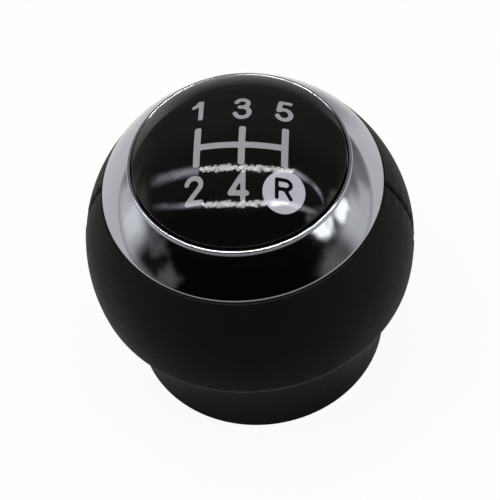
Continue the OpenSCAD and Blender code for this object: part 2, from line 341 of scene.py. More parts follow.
leatherLook = leatherMaterial()
chromeLook = chromeMaterial()
capLook = capMaterial("capGloss", tone(8, 8, 9), tone(12, 12, 13))
inkLook = capMaterial("patternInk", tone(148, 150, 153), tone(156, 158, 162))
discLook = capMaterial("patternDisc", tone(178, 179, 190), tone(186, 187, 196))
collarLook = plasticMaterial("collarPlastic", tone(10, 8, 9), tone(13, 11, 12), roughness=0.5, depth=0.012)
coreLook = plasticMaterial("corePlastic", tone(30, 30, 32), tone(38, 38, 40), roughness=0.55, depth=0.01)
steelLook = steelMaterial()
print("materials made")


# Bezel ring: a turned section swept round the axis
ring = {"faceR": 26.1, "centreZ": 24.3, "outerR": 21.45, "innerR": 16.2504, "wall": 1.5, "edgeRound": 0.35,
        "chamfer": 0.06, "hemLevel": 14.3217, "deckZ": 37.2717, "deckT": 2.2, "beadR": 0.35, "beadRise": 0.5,
        "shelfR": 14.7504, "shelfT": 1.4, "shelfLap": 0.4, "shelfSteps": 180, "capProud": 0.45, "capRim": 2.4,
        "fingers": 3, "fingerW": 9, "fingerLap": 0.2, "catch": 0.6, "barbH": 1.6, "gap": 0.12, "keyW": 3,
        "pathR": 10, "steps": 320}


def ringLevels():
    beadX = ring["innerR"] + ring["beadR"]
    beadZ = ring["centreZ"] + onCircle(ring["faceR"], beadX) + ring["beadRise"] - ring["beadR"]
    edgeZ = beadZ + ring["beadR"] + ring["capProud"]
    return beadX, beadZ, edgeZ, edgeZ - ring["capRim"]


def ringSection():
    # face, rounded edge, underside, wall, and the bead with its inner side
    face, mid, wall, hem = (ring[key] for key in ("faceR", "centreZ", "wall", "hemLevel"))
    beadX, beadZ = ringLevels()[:2]
    edge, chamfer = ring["edgeRound"], ring["chamfer"]
    cornerX = ring["outerR"] - edge
    cornerY = onCircle(face - edge, cornerX)
    cornerSlope = slopeOf(cornerX, cornerY)
    under, wallX = face - wall, ring["innerR"] + wall
    wallY = onCircle(under, wallX)
    sideX = beadX + ring["beadR"]
    section = [(ring["innerR"], ring["deckZ"]), (wallX, ring["deckZ"]), (wallX, mid + wallY)]
    section += arc(0, mid, under, slopeOf(wallX, wallY), slopeOf(onCircle(under, hem), hem), steps=8)[1:]
    section += [(ring["outerR"] - chamfer, mid + hem), (ring["outerR"], mid + hem + chamfer)]
    section += arc(cornerX, mid + cornerY, edge, 0, cornerSlope, steps=8)
    section += arc(0, mid, face, cornerSlope, slopeOf(sideX, onCircle(face, sideX)), steps=34)[1:]
    section += arc(beadX, beadZ, ring["beadR"], 0, 180, steps=16)
    return section


def ringTree():
    tree, given = newTree("ringSweep", {"Material": "Material", "Path Radius": "Float", "Steps": "Int"})
    loop = addNode(tree, "GeometryNodeMeshToCurve", {"Mesh": given["Geometry"]})
    path = addNode(tree, "GeometryNodeCurvePrimitiveCircle",
                   {"Resolution": given["Steps"], "Radius": given["Path Radius"]})
    upright = addNode(tree, "GeometryNodeSetCurveNormal", {"Curve": path.outputs[0]}, mode="Z_UP")
    swept = addNode(tree, "GeometryNodeCurveToMesh",
                    {"Curve": upright.outputs[0], "Profile Curve": loop.outputs[0]})
    endTree(tree, swept.outputs[0], given["Material"])
    return tree


def fingerSection(radius, wall, topZ, catchZ, lowZ):
    # a snap finger: an upright wall with a barb outside whose upper face catches
    drop, tip = ring["barbH"] / 4, radius + ring["catch"]
    return [(radius - wall, topZ), (radius - wall, lowZ), (radius, lowZ), (tip, catchZ - drop),
            (tip, catchZ), (radius, catchZ), (radius, topZ)]


def addRing():
    outline = outlineObject("ringSection", [(r - ring["pathR"], -z) for r, z in ringSection()])
    sizes = {"Material": chromeLook, "Path Radius": ring["pathR"] * mm, "Steps": ring["steps"]}
    piece = finishMesh("bezelRing", evaluatedMesh(ringTree(), outline, sizes), sharpAngle=32)
    # the shelf with its notch for the cap's key
    points, faces = [], []
    shelfZ = ringLevels()[3]
    shelfLow, shelfOut = shelfZ - ring["shelfT"], ring["innerR"] + ring["shelfLap"]
    shelf = [(ring["shelfR"], shelfLow), (shelfOut, shelfLow), (shelfOut, shelfZ), (ring["shelfR"], shelfZ)]
    notch = (ring["keyW"] / 2 + ring["gap"]) / ring["shelfR"]
    rows = ring["shelfSteps"]
    for i in range(rows + 1):
        points += turned(shelf, notch - math.pi / 2 + (fullTurn - 2 * notch) * i / rows)
    loft(faces, 0, rows, len(shelf))
    # the snap fingers that hold the ring in the core's deck
    catchZ = ring["deckZ"] - ring["deckT"] - ring["gap"]
    finger = fingerSection(ring["innerR"] + ring["wall"], ring["wall"], ring["deckZ"] + ring["fingerLap"],
                           catchZ, catchZ - ring["barbH"])
    for i in range(ring["fingers"]):
        sliver(points, faces, finger, ring["fingerW"], i * 360 / ring["fingers"])
    joinMesh(piece, makePiece("ringInner", points, faces, [chromeLook]))
    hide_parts("bezel_ring")
    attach(piece, "root")


addRing()
print("bezel ring made")


# Pattern cap, with the shift pattern printed flush in its dome
cap = {"radius": 16.1304, "crownR": 24.3, "wall": 1.8, "edgeRound": 0.35, "steps": 360, "ringStep": 0.2,
       "hollowTop": 89.5, "domeSlack": 0.002, "fingers": 3, "fingerW": 6, "keyW": 3, "keyRise": 0.3,
       "keyLap": 0.02}

# The print, from the cap's centre: half widths of its strokes, the disc as x, y and radius,
# each bar as x, top and foot, and the field that holds all ink as half width, foot and top
pattern = {"lineHalf": 0.5, "digitHalf": 0.36, "letterHalf": 0.28, "corner": 0.28, "crossCorner": 0.05,
           "crossY": -1.74, "shift": (0.07, -0.43), "disc": (7.22, -8.42, 3.2), "discNear": 0.5,
           "bars": [(-5.65, 1.81, -4.92), (0.97, 1.59, -4.96), (7.22, 1.84, -4.86)], "field": (10, -12, 9)}


def bend(x, y, rx, ry, start, stop, steps=14):
    # a curved stroke: points on an ellipse, with the angles in degrees
    turns = [math.radians(start + (stop - start) * i / steps) for i in range(steps + 1)]
    return [(x + rx * math.cos(t), y + ry * math.sin(t)) for t in turns]


def digitStrokes():
    one = [[(-6.62, 6.46), (-6.15, 6.76), (-5.84, 7.42), (-5.54, 7.42), (-5.45, 3.74)]]
    three = [bend(0.68, 6.48, 0.88, 0.86, 165, -90) + [(0.35, 5.62)],
             [(0.35, 5.62)] + bend(0.74, 4.51, 1.06, 1.11, 90, -165)]
    five = [[(7.66, 7.36), (6.32, 7.36), (6.08, 5.45)] + bend(6.88, 4.7, 1.0, 1.1, 132, -162)]
    two = [bend(-5.92, -7.5, 1.06, 0.96, 170, -28) + [(-6.92, -10.02), (-4.8, -10.02)]]
    four = [[(1.3, -10.0), (1.3, -6.3), (-0.55, -9.1), (1.85, -9.1)]]
    return one + three + five + two + four


def letterStrokes():
    bowl = bend(7.35, -7.4, 0.8, 0.65, 90, -90)
    return [[(6.15, -9.25), (6.15, -6.75), (7.3, -6.75)] + bowl + [(6.15, -8.05)],
            [(7.3, -8.05), (8.15, -9.25)]]


def toStroke(x, y, stroke):
    # distance from a point to a chain of straight lines
    best = math.inf
    for (ax, ay), (bx, by) in zip(stroke, stroke[1:]):
        dx, dy = bx - ax, by - ay
        squared = dx * dx + dy * dy
        part = min(1, max(0, ((x - ax) * dx + (y - ay) * dy) / squared)) if squared else 0
        best = min(best, math.hypot(x - ax - part * dx, y - ay - part * dy))
    return best


def toBox(x, y, left, right, low, high, corner):
    # signed distance to a rectangle with rounded corners
    across = abs(x - (left + right) / 2) - (right - left) / 2 + corner
    up = abs(y - (low + high) / 2) - (high - low) / 2 + corner
    return math.hypot(max(across, 0), max(up, 0)) + min(max(across, up), 0) - corner


digits, letters = digitStrokes(), letterStrokes()


def inkDistance(x, y):
    # below zero on the grey ink of the lines and the digits
    wide, foot, head = pattern["field"]
    if abs(x) > wide or not foot <= y <= head:
        return 1.0
    half, crossY, bars = (pattern[key] for key in ("lineHalf", "crossY", "bars"))
    found = [toBox(x, y, barX - half, barX + half, low, top, pattern["corner"]) for barX, top, low in bars]
    found.append(toBox(x, y, bars[0][0], bars[2][0], crossY - half, crossY + half, pattern["crossCorner"]))
    found += [toStroke(x, y, stroke) - pattern["digitHalf"] for stroke in digits]
    return min(found)


def discDistance(x, y):
    # below zero on the pale disc, apart from the letter that is left open in it
    discX, discY, discR = pattern["disc"]
    rise = onCircle(cap["crownR"], math.hypot(x, y)) - onCircle(cap["crownR"], math.hypot(discX, discY))
    disc = math.sqrt((x - discX) ** 2 + (y - discY) ** 2 + rise ** 2) - discR
    if disc > pattern["discNear"]:
        return disc
    letter = min(toStroke(x, y, stroke) for stroke in letters) - pattern["letterHalf"]
    return max(disc, -letter)


def cutPrint(place, triangles):
    # cuts the dome's triangles along the edges of the print, and finds the look of each
    looks = [0] * len(triangles)
    shiftX, shiftY = pattern["shift"]
    for layer, distance in ((1, inkDistance), (2, discDistance)):
        height = [distance(x - shiftX, y - shiftY) for x, y in place]
        cuts, parts = {}, []

        def cutPoint(a, b):
            key = (min(a, b), max(a, b))
            if key not in cuts:
                part = height[key[0]] / (height[key[0]] - height[key[1]])
                (ax, ay), (bx, by) = place[key[0]], place[key[1]]
                cuts[key] = len(place)
                place.append((ax + part * (bx - ax), ay + part * (by - ay)))
                height.append(0.0)
            return cuts[key]

        for (a, b, c), old in zip(triangles, looks):
            inside = [height[v] < 0 for v in (a, b, c)]
            if all(inside) or not any(inside):
                parts.append(((a, b, c), layer if inside[0] else old))
                continue
            lone = inside.index(True) if sum(inside) == 1 else inside.index(False)
            a, b, c = ((a, b, c), (b, c, a), (c, a, b))[lone]
            ab, ac = cutPoint(a, b), cutPoint(a, c)
            tip, rest = (layer, old) if sum(inside) == 1 else (old, layer)
            parts += [((a, ab, ac), tip), ((ab, b, c), rest), ((ab, c, ac), rest)]
        triangles = [corners for corners, look in parts]
        looks = [look for corners, look in parts]
    return triangles, looks


def domeGrid(topR):
    # the dome's face as rings of triangles, seen from above
    steps, rows = cap["steps"], int(topR / cap["ringStep"])
    place = [(0.0, 0.0)]
    for row in range(1, rows + 1):
        for i in range(steps):
            turn = fullTurn * i / steps
            place.append((topR * row / rows * math.cos(turn), topR * row / rows * math.sin(turn)))
    triangles = [(0, 1 + i, 1 + (i + 1) % steps) for i in range(steps)]
    for row in range(1, rows):
        low, high = 1 + (row - 1) * steps, 1 + row * steps
        for i in range(steps):
            k = (i + 1) % steps
            triangles += [(low + i, high + i, high + k), (low + i, high + k, low + k)]
    return place, triangles


def capCatches(points, faces, edgeZ, shelfZ):
    # three snap fingers that catch under the ring's shelf, and the key that keeps the pattern upright
    shelfLow = shelfZ - ring["shelfT"]
    catchZ = shelfLow - ring["gap"]
    fingerR = ring["shelfR"] - ring["gap"]
    finger = fingerSection(fingerR, cap["wall"] / 2, edgeZ, catchZ, catchZ - ring["barbH"])
    for i in range(cap["fingers"]):
        sliver(points, faces, finger, cap["fingerW"], (i + 0.5) * 360 / cap["fingers"])
    keyIn, keyOut = cap["radius"] - cap["wall"] + cap["keyLap"], cap["radius"] - ring["gap"]
    keyTop = shelfZ + cap["keyRise"]
    key = [(keyIn, shelfLow), (keyOut, shelfLow), (keyOut, keyTop), (keyIn, keyTop)]
    sliver(points, faces, key, cap["keyW"], -90)


def domeNormals(mesh, crownZ):
    # the dome's own normals, so that the cuts along the print don't show in the gloss
    centre = Vector((0, 0, crownZ * mm))
    normals = [(0, 0, 0)] * len(mesh.loops)
    for face in mesh.polygons:
        ends = [mesh.vertices[v].co - centre for v in face.vertices]
        if all(end.z > 0 and abs(end.length - cap["crownR"] * mm) < cap["domeSlack"] * mm for end in ends):
            for corner, end in zip(face.loop_indices, ends):
                normals[corner] = end.normalized()
    mesh.normals_split_custom_set(normals)


def addCap():
    edgeZ, shelfZ = ringLevels()[2:]
    crownZ = edgeZ - onCircle(cap["crownR"], cap["radius"])
    edge, steps = cap["edgeRound"], cap["steps"]
    cornerX = cap["radius"] - edge
    cornerY = onCircle(cap["crownR"] - edge, cornerX)
    topSlope = slopeOf(cornerX, cornerY)
    topR = cap["crownR"] * math.cos(math.radians(topSlope))
    place, triangles = domeGrid(topR)
    faces, looks = cutPrint(place, triangles)
    points = [(x, y, crownZ + onCircle(cap["crownR"], math.hypot(x, y))) for x, y in place]

    # the rest of the shell: rounded edge, rim, foot and the hollow under the dome
    innerR, innerDome = cap["radius"] - cap["wall"], cap["crownR"] - cap["wall"]
    hollow = onCircle(innerDome, innerR)
    section = [(topR, crownZ + onCircle(cap["crownR"], topR))]
    section += arc(cornerX, crownZ + cornerY, edge, topSlope, 0, steps=8)[1:]
    section += [(cap["radius"], shelfZ), (innerR, shelfZ), (innerR, crownZ + hollow)]
    section += arc(0, crownZ, innerDome, slopeOf(innerR, hollow), cap["hollowTop"], steps=24)[1:]
    first, count = len(points), len(section)
    for i in range(steps):
        points += turned(section, fullTurn * i / steps)
    for i in range(steps):
        bridge(faces, first + i * count, first + (i + 1) % steps * count, count, closed=False)
    faces.append(tuple(first + i * count + count - 1 for i in range(steps)))
    capCatches(points, faces, edgeZ, shelfZ)
    looks += [0] * (len(faces) - len(looks))
    piece = makePiece("patternCap", points, faces, [capLook, inkLook, discLook], looks)
    domeNormals(piece.data, crownZ)
    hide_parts("pattern_cap")
    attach(piece, "root")
    print("pattern cap made:", len(piece.data.polygons), "faces")


addCap()


# Leather panels, with skived edges turned in at the ring, the collar and the seams
leather = {"radius": 26, "centreZ": 24.3, "thickness": 1.3, "hemDrop": 5, "hemHigh": 14.3217, "flapW": 2.2,
           "ringR": 21.45, "hemRound": 0.8, "ringHemRound": 0.4, "seamGap": 0.3, "seamRound": 0.75,
           "bond": 0.05, "seamTuck": 1.2, "flapT": 0.6, "tuckSteps": 16, "edgeSteps": 9, "arcFrom": 4,
           "arcSpan": 172, "arcSteps": 170, "rimFrom": 4, "rimSteps": 12, "waveH": 0.05, "waveL": 9,
           "waveSeed": 3.1, "puckerL": 2.6, "puckerDepth": 0.07, "puckerReach": 1.6}


def leatherSection():
    # the outer skin from the lower hem to the ring's, and the turned edges and the back of the skin
    r, t, low, high = (leather[key] for key in ("radius", "thickness", "hemDrop", "hemHigh"))
    s, topS = leather["hemRound"], leather["ringHemRound"]
    skin = r - t
    flapHigh = leather["ringR"] - leather["flapW"]
    flapLow = onCircle(skin, low - t) - leather["flapW"]
    highX, lowX = onCircle(r - topS, high - topS), onCircle(r - s, low - s)
    highSlope, lowSlope = slopeOf(highX, high - topS), -slopeOf(lowX, low - s)
    skinHigh = slopeOf(onCircle(skin, high - t), high - t)
    skinLow = -slopeOf(onCircle(skin, low - t), low - t)
    outer = arc(lowX, s - low, s, -90, lowSlope, steps=8)
    outer += arc(0, 0, r, lowSlope, highSlope, steps=64)[1:]
    outer += arc(highX, high - topS, topS, highSlope, 90, steps=8)[1:]
    inner = [(flapHigh, high), (flapHigh, high - t)]
    inner += arc(0, 0, skin, skinHigh, skinLow, steps=20)
    inner += [(flapLow, t - low), (flapLow, -low)]
    return outer, inner


def skinDrop(x, y, r, z, rim, turnBy):
    # how far the skin lies under the ball: the rounded seam edge, slight waves and the seam's pucker
    s, off = leather["seamRound"], y - leather["seamGap"] / 2
    drop = s - math.sqrt(max(0, s * s - (s - off) ** 2)) if off < s else 0.0
    at = Vector((x * turnBy, y, z)) / leather["waveL"]
    drop -= leather["waveH"] * rim * (noise.noise(at + Vector((turnBy, leather["waveSeed"], 0))) - 0.5)
    along = math.atan2(z, r) * leather["radius"]
    folds = math.sin(fullTurn * along / leather["puckerL"] + 2 * noise.noise(at))
    return drop + leather["puckerDepth"] * math.exp(-off / leather["puckerReach"]) * rim * (1 + folds)


def tuckedEnds(points, faces, turnBy):
    # the skived allowance that is tucked into the core's groove at both ends of a panel
    half, inset = leather["seamGap"] / 2, leather["thickness"] + leather["bond"]
    lowZ, highZ = inset - leather["hemDrop"], leather["hemHigh"] - inset
    coreR = leather["radius"] - inset
    outR, inR = coreR + leather["bond"] + leather["thickness"] / 2, coreR - leather["seamTuck"]
    far, rows = half + leather["flapT"], leather["tuckSteps"]
    corners = [(inR, half), (inR, far), (outR, far), (outR, half)]
    for side in (-1, 1):
        first = len(points)
        for i in range(rows + 1):
            z = lowZ + (highZ - lowZ) * i / rows
            for r, y in corners:
                points.append((-turnBy * side * onCircle(r, z), turnBy * y, leather["centreZ"] + z))
        loft(faces, first, rows, len(corners))


def addPanel(name, node, turnBy):
    # the front panel for -1, and the same one turned half round for 1
    outer, inner = leatherSection()
    section = outer + inner
    half, s = leather["seamGap"] / 2, leather["seamRound"]
    edgeSteps, arcSteps = leather["edgeSteps"], leather["arcSteps"]
    edge = [half + s * (1 - math.cos(math.pi / 2 * i / edgeSteps)) for i in range(edgeSteps + 1)]
    turns = [leather["arcFrom"] + leather["arcSpan"] * i / arcSteps for i in range(arcSteps + 1)]
    stations = [("plane", y, 1) for y in edge]
    stations += [("turn", math.radians(turn), 1) for turn in turns]
    stations += [("plane", y, -1) for y in reversed(edge)]
    points, faces = [], []
    for kind, value, side in stations:
        for index, (r, z) in enumerate(section):
            if kind == "plane":
                x, y = side * onCircle(r, value), value
            else:
                x, y = r * math.cos(value), r * math.sin(value)
            drop = 0.0
            if index < len(outer):
                fromRim = min(index, len(outer) - 1 - index) - leather["rimFrom"]
                drop = skinDrop(x, y, r, z, min(1, max(0, fromRim / leather["rimSteps"])), turnBy)
            k = 1 - drop / math.sqrt(r * r + z * z)
            out = half + (y - half) * (k if kind == "turn" else 1)
            points.append((-turnBy * x * k, turnBy * out, leather["centreZ"] + z * k))
    loft(faces, 0, len(stations) - 1, len(section))
    tuckedEnds(points, faces, turnBy)
    piece = makePiece(name, points, faces, [leatherLook], sharpAngle=50)
    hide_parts(node)
    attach(piece, "root")


addPanel("frontPanel", "front_leather", -1)
addPanel("rearPanel", "rear_leather", 1)
print("leather panels made")


# Threaded insert: a hexagon bar with a groove and a cut thread
insert = {"flats": 16, "lowZ": 7.5, "length": 24, "grooveR": 7.1, "grooveW": 3, "crestR": 5.32, "rootR": 5.98,
          "mouthR": 6.22, "pitch": 1.25, "crestHalf": 0.16, "rootHalf": 0.54, "ridgeLap": 0.1,
          "ridgeFlare": 0.03, "lead": 0.75, "steps": 96, "turnSteps": 40}


def threadTree():
    tree, given = newTree("threadSweep", {"Material": "Material", "Turns": "Float", "Radius": "Float",
                                          "Height": "Float", "Steps": "Int"})
    loop = addNode(tree, "GeometryNodeMeshToCurve", {"Mesh": given["Geometry"]})
    path = addNode(tree, "GeometryNodeCurveSpiral",
                   {"Resolution": given["Steps"], "Rotations": given["Turns"], "Height": given["Height"],
                    "Start Radius": given["Radius"], "End Radius": given["Radius"], "Reverse": True})
    upright = addNode(tree, "GeometryNodeSetCurveNormal", {"Curve": path.outputs[0]}, mode="Z_UP")
    swept = addNode(tree, "GeometryNodeCurveToMesh",
                    {"Curve": upright.outputs[0], "Profile Curve": loop.outputs[0], "Fill Caps": True})
    endTree(tree, swept.outputs[0], given["Material"])
    return tree


def insertBar():
    # a hexagon bar with its groove and its bore
    lowZ, length, half = insert["lowZ"], insert["length"], insert["grooveW"] / 2
    grooveR, rootR, mouthR = insert["grooveR"], insert["rootR"], insert["mouthR"]
    highZ, middle, mouth = lowZ + length, lowZ + length / 2, mouthR - rootR
    loops = [("hex", lowZ), ("hex", middle - half), (grooveR, middle - half), (grooveR, middle + half),
             ("hex", middle + half), ("hex", highZ), (mouthR, highZ), (rootR, highZ - mouth),
             (rootR, lowZ + mouth), (mouthR, lowZ)]
    points, faces, steps, count = [], [], insert["steps"], len(loops)
    for i in range(steps):
        turn = fullTurn * i / steps
        hexR = insert["flats"] / 2 / math.cos(turn % (math.pi / 3) - math.pi / 6)
        points += turned([(hexR if r == "hex" else r, z) for r, z in loops], turn)
    for i in range(steps):
        bridge(faces, i * count, (i + 1) % steps * count, count)
    return makePiece("threadedInsert", points, faces, [steelLook], sharpAngle=28)


def threadRidge():
    # the thread's ridge, which winds up through the bore and stops short of both mouths
    rise, depth = insert["length"] - 2 * insert["lead"], insert["rootR"] - insert["crestR"]
    lap, root, crest = insert["ridgeLap"], insert["rootHalf"] + insert["ridgeFlare"], insert["crestHalf"]
    ridge = [(lap, root), (-depth, crest), (-depth, -crest), (lap, -root)]
    sizes = {"Material": steelLook, "Steps": insert["turnSteps"], "Turns": rise / insert["pitch"],
             "Radius": insert["rootR"] * mm, "Height": rise * mm}
    mesh = evaluatedMesh(threadTree(), outlineObject("threadRidge", ridge), sizes)
    mesh.transform(Matrix.Translation((0, 0, (insert["lowZ"] + insert["lead"]) * mm)))
    return finishMesh("threadRidge", mesh, sharpAngle=25)


def addInsert():
    piece = insertBar()
    joinMesh(piece, threadRidge())
    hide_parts("threaded_insert")
    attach(piece, "root")


addInsert()
print("threaded insert made")


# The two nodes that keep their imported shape
for name, look in (("core", coreLook), ("collar", collarLook)):
    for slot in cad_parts[name].material_slots:
        slot.material = look


# Studio: pale floor, soft lamps and what the gloss mirrors
def addStage(thing, shadow=False):
    # a thing of the studio, which only mirrored rays see unless it is there for the shadow
    scene.collection.objects.link(thing)
    if not shadow:
        thing.visible_camera = thing.visible_diffuse = thing.visible_shadow = False
        thing.visible_transmission = thing.visible_volume_scatter = False


def rayKinds(tree):
    # 1 for the rays straight from the camera, and 1 for those that the object mirrors or refracts
    path = addNode(tree, "ShaderNodeLightPath")
    mirrored = calc(tree, "MAXIMUM", path.outputs["Is Glossy Ray"], path.outputs["Is Transmission Ray"])
    return path.outputs["Is Camera Ray"], mirrored


# The floor's table edge and fall are in metres, as its shader sees them. A band is: from, to, and the
# value at both.
floor = {"reach": 1500, "corners": 96, "seenWhite": 0.93, "mirroredWhite": 0.15,
         "tableEdge": (0.05, 0.12, 0, 1), "rear": (0.8, 0.97, 0, 1), "shade": (-0.9, -0.25, 0.5, 0),
         "level": 0.86, "rearLevel": 0.66, "fallFrom": 0.083, "fallPower": 0.7}


def emptyMaterial(name):
    material = bpy.data.materials.new(name)
    material.use_nodes = True
    material.node_tree.nodes.clear()
    return material, material.node_tree


def floorMaterial():
    material, tree = emptyMaterial("floor")
    place = addNode(tree, "ShaderNodeTexCoord").outputs["Object"]
    speck = cloudy(tree, place, scale=60.0, detail=3.0)
    paint = mixTones(tree, speck, (0.9, 0.9, 0.9, 1), (0.93, 0.93, 0.93, 1))
    matte = addNode(tree, "ShaderNodeBsdfDiffuse", {"Color": paint}).outputs[0]
    white = addNode(tree, "ShaderNodeEmission", {"Color": (1, 1, 1, 1), "Strength": 1.0}).outputs[0]
    # mirrored rays see less of the added white, so that the knob's own shadow stays in its gloss
    seen, mirrored = rayKinds(tree)
    mirroredShare = calc(tree, "MULTIPLY", mirrored, floor["mirroredWhite"])
    share = calc(tree, "MULTIPLY_ADD", seen, floor["seenWhite"], mirroredShare)
    table = mixShader(tree, share, matte, white)
    # for them the pale table ends in the grey of the room, which fades towards the rear
    far = addNode(tree, "ShaderNodeVectorMath", {0: place}, operation="LENGTH").outputs["Value"]
    behind = calc(tree, "DIVIDE", addNode(tree, "ShaderNodeSeparateXYZ", {0: place}).outputs["Y"], far)
    fall = calc(tree, "POWER", calc(tree, "DIVIDE", floor["fallFrom"], far), floor["fallPower"])
    level = addNode(tree, "ShaderNodeMapRange", {"Value": blend(tree, behind, *floor["rear"]),
                                                 "To Min": floor["level"],
                                                 "To Max": calc(tree, "MULTIPLY", fall, floor["rearLevel"])})
    dim = addNode(tree, "ShaderNodeEmission", {"Color": (1, 1, 1, 1), "Strength": level.outputs["Result"]})
    beyond = calc(tree, "MULTIPLY", mirrored, blend(tree, far, *floor["tableEdge"]))
    whole = mixShader(tree, beyond, table, dim.outputs[0])
    # the front of the table is in shade
    shaded = calc(tree, "MULTIPLY", mirrored, blend(tree, behind, *floor["shade"]))
    black = addNode(tree, "ShaderNodeEmission", {"Color": (0, 0, 0, 1), "Strength": 0.0})
    surface = mixShader(tree, shaded, whole, black.outputs[0])
    addNode(tree, "ShaderNodeOutputMaterial", {"Surface": surface})
    return material


def addFloor():
    mesh = bpy.data.meshes.new("floor")
    count, rim = floor["corners"], []
    for i in range(count):
        rim += turned([(floor["reach"] * mm, 0)], fullTurn * i / count)
    mesh.from_pydata(rim, [], [tuple(range(count))])
    mesh.materials.append(floorMaterial())
    addStage(bpy.data.objects.new("floor", mesh), shadow=True)


def addWorld():
    world = bpy.data.worlds.new("studio")
    world.use_nodes = True
    tree = world.node_tree
    tree.nodes.clear()
    soft = addNode(tree, "ShaderNodeBackground", {"Color": (1, 1, 1, 1), "Strength": 0.5})
    white = addNode(tree, "ShaderNodeBackground", {"Color": (1, 1, 1, 1), "Strength": 1.0})
    surface = mixShader(tree, calc(tree, "MAXIMUM", *rayKinds(tree)), soft.outputs[0], white.outputs[0])
    addNode(tree, "ShaderNodeOutputWorld", {"Surface": surface})
    scene.world = world


def glow(name, colour, strength):
    material, tree = emptyMaterial(name)
    light = addNode(tree, "ShaderNodeEmission", {"Color": colour, "Strength": strength})
    addNode(tree, "ShaderNodeOutputMaterial", {"Surface": light.outputs[0]})
    return material, tree, light


# The grey room round the table. A band is: from, to, and the value at both, along one axis of the
# direction. The last word of its name is the part of the room that it belongs to.
room = {"radius": 1400, "rows": 24, "steps": 64, "level": 0.16,
        "aheadWall": (0.3, 0.75, 0.0, 0.15), "upWall": (0.1, 0.7, 0.0, 1.0),
        "acrossSides": (0.6, 0.9, 0.0, 0.7), "upSides": (0.28, 0.44, 1.0, 0.0),
        "aheadCorner": (0.15, 0.4, 0.0, 0.85), "upCorner": (0.15, 0.25, 0.0, 1.0),
        "aheadFar": (0.34, 0.5, 0.0, 0.75), "upFar": (0.0, 0.06, 0.0, 1.0),
        "aheadDark": (-0.32, -0.03, 1.0, 0.0), "upDark": (0.89, 0.975, 1.0, 0.0),
        "footDark": (0.0, 0.16, 0.6, 0.985),
        "upLine": (0.02, 0.06, 0.3, 0.0), "acrossLine": (0.6, 0.85, 0.0, 1.0),
        "torn": 0.05, "uneven": (0.0, 1.0, 0.72, 1.2)}

# Bright windows and dim patches: direction, inner and outer size, level
patches = [((0.92, 0.04, 0.41), 0.03, 0.13, 2.0), ((0.81, -0.23, 0.54), 0.04, 0.15, 2.8),
           ((-0.96, 0.05, 0.24), 0.08, 0.25, 0.35), ((-0.85, -0.33, 0.41), 0.02, 0.17, 0.12),
           ((-0.77, -0.6, 0.23), 0.02, 0.19, 0.15), ((0.87, -0.46, 0.19), 0.04, 0.28, 0.17)]


def roomMaterial():
    # a grey room, paler at the sides and dark at the front
    material, tree, light = glow("room", (1, 1, 1, 1), 1.0)
    place = addNode(tree, "ShaderNodeTexCoord").outputs["Object"]
    toward = addNode(tree, "ShaderNodeVectorMath", {0: place}, operation="NORMALIZE").outputs[0]
    split = addNode(tree, "ShaderNodeSeparateXYZ", {0: toward})
    across, ahead, up = calc(tree, "ABSOLUTE", split.outputs["X"]), split.outputs["Y"], split.outputs["Z"]

    def bands(one, oneBand, other, otherBand):
        return calc(tree, "MULTIPLY", blend(tree, one, *room[oneBand]), blend(tree, other, *room[otherBand]))

    def without(level, part):
        return calc(tree, "MULTIPLY", level, calc(tree, "SUBTRACT", 1.0, part))

    # the room's grey with its paler rear wall, and the pale sides with their darker corners
    level = calc(tree, "ADD", room["level"], bands(ahead, "aheadWall", up, "upWall"))
    corner, far = bands(ahead, "aheadCorner", up, "upCorner"), bands(ahead, "aheadFar", up, "upFar")
    sides = without(bands(across, "acrossSides", up, "upSides"), calc(tree, "MAXIMUM", corner, far))
    level = calc(tree, "ADD", level, sides)
    # the dark front of the room
    dark = calc(tree, "MULTIPLY", bands(ahead, "aheadDark", up, "upDark"), blend(tree, up, *room["footDark"]))
    level = without(level, dark)
    # the windows and patches, with torn edges
    torn = addNode(tree, "ShaderNodeTexNoise", {"Vector": toward, "Scale": 6.0, "Detail": 1.0}).outputs["Fac"]
    offset = addNode(tree, "ShaderNodeMapRange", {"Value": torn, "From Min": 0.3, "From Max": 0.7,
                                                  "To Min": -room["torn"], "To Max": room["torn"]})
    for at, low, high, power in patches:
        away = addNode(tree, "ShaderNodeVectorMath", {0: toward, 1: at}, operation="DISTANCE")
        away = calc(tree, "ADD", away.outputs["Value"], offset.outputs["Result"])
        level = calc(tree, "ADD", level, blend(tree, away, low, high, power, 0.0))
    # a thin darker line where the floor meets the sides, and the blurred unevenness of a real room
    level = without(level, bands(up, "upLine", across, "acrossLine"))
    cloud = cloudy(tree, toward, scale=5.0, detail=2.0, low=0.3, high=0.7)
    level = calc(tree, "MULTIPLY", level, blend(tree, cloud, *room["uneven"]))
    tree.links.new(level, light.inputs["Strength"])
    return material


def addShell():
    # the room as a half dome that only mirrored rays see
    points, faces, rows, steps, reach = [], [], room["rows"], room["steps"], room["radius"] * mm
    for row in range(rows):
        lift = math.pi / 2 * row / rows
        for i in range(steps):
            points += turned([(reach * math.cos(lift), reach * math.sin(lift))], fullTurn * i / steps)
    for row in range(rows - 1):
        bridge(faces, (row + 1) * steps, row * steps, steps)
    faces.append(tuple(range((rows - 1) * steps, rows * steps)))
    mesh = bpy.data.meshes.new("room")
    mesh.from_pydata(points, [], faces)
    mesh.materials.append(roomMaterial())
    addStage(bpy.data.objects.new("room", mesh))


